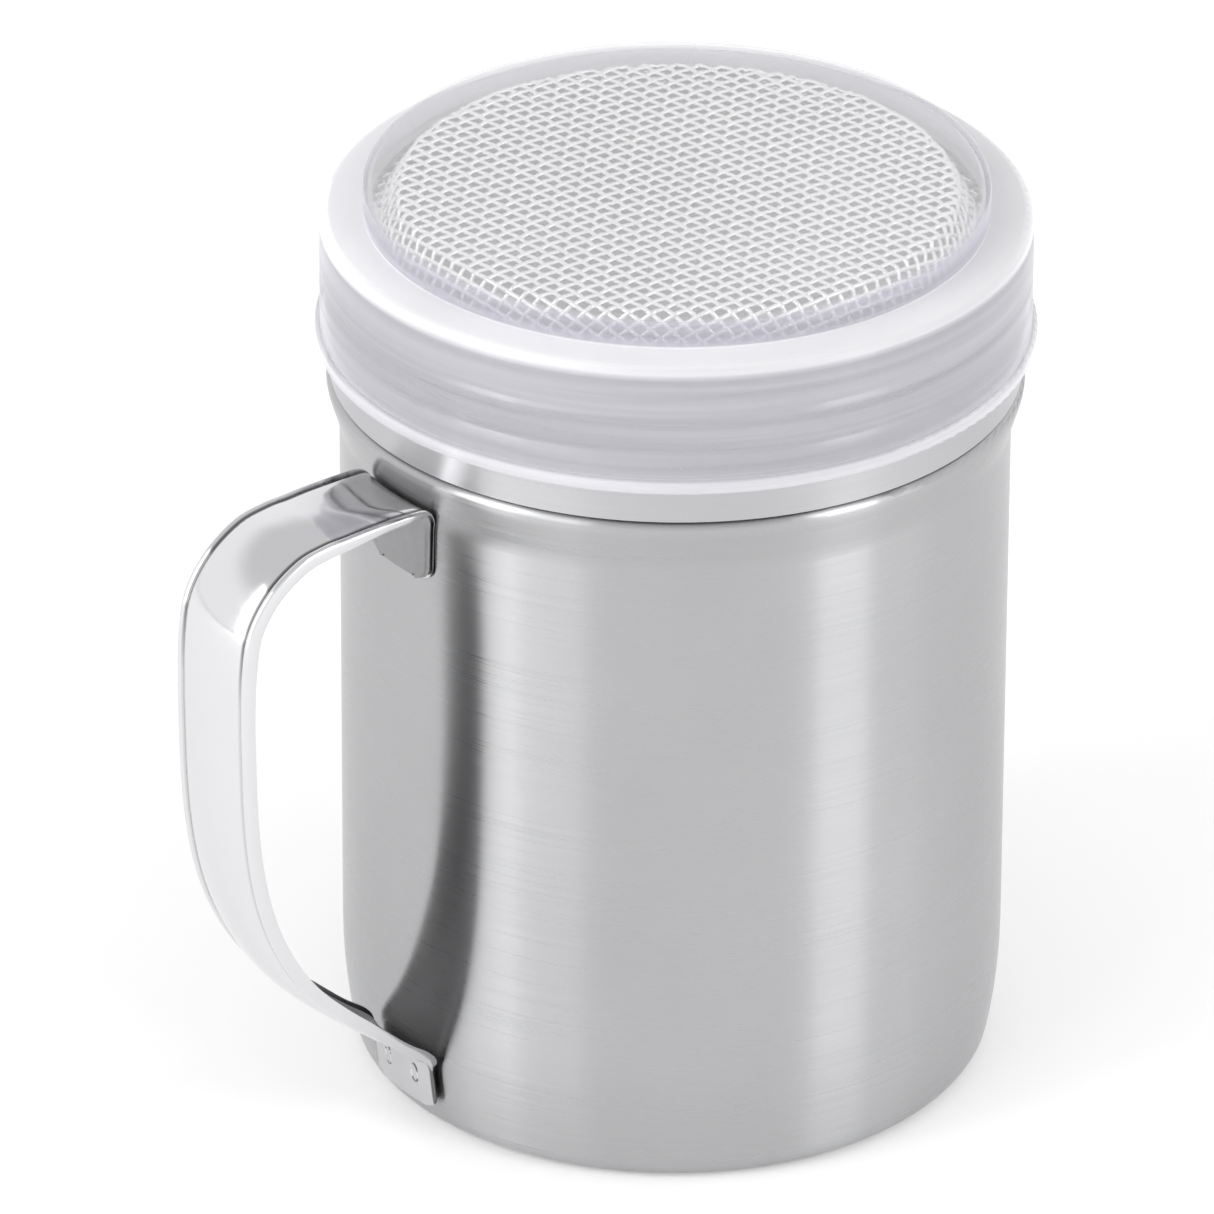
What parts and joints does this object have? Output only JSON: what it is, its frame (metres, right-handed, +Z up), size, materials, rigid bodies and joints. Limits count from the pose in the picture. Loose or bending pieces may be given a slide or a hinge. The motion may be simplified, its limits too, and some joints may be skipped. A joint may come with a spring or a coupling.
{
  "type": "flour sifter",
  "caption": "Hand-shaken steel flour sifter: drawn cup with strap handle, push-on lid with domed wire mesh, and a press-on translucent dust cover.",
  "frame": {"origin": "centre of the cup's flat base, on the cup's axis", "axes": "+Z up along the cup's axis; the handle points along -X and lies on the XZ plane"},
  "size_m": [0.0973, 0.075, 0.1008],
  "materials": {
    "cup_steel": "satin brushed stainless steel",
    "handle_steel": "polished stainless steel",
    "weld_steel": "spot-welded stainless steel",
    "lid_steel": "bright stainless steel",
    "mesh_wire": "drawn stainless steel wire cloth",
    "cover_plastic": "translucent moulded polypropylene"
  },
  "bodies": {
    "cup": {"cup_body": "cup_steel", "handle_strip": "handle_steel", "upper_handle_welds": "weld_steel", "lower_handle_welds": "weld_steel"},
    "sieve_lid": {"sieve_ring": "lid_steel", "mesh_screen": "mesh_wire", "mesh_clamp_ring": "lid_steel"},
    "cover": {"dust_cover": "cover_plastic"}
  },
  "joints": [
    {"name": "lid_lift", "type": "slide", "parent": "cup", "child": "sieve_lid", "axis": [0, 0, 1], "range_m": [0, 0.035]},
    {"name": "cover_lift", "type": "slide", "parent": "sieve_lid", "child": "cover", "axis": [0, 0, 1], "range_m": [0, 0.03]}
  ]
}
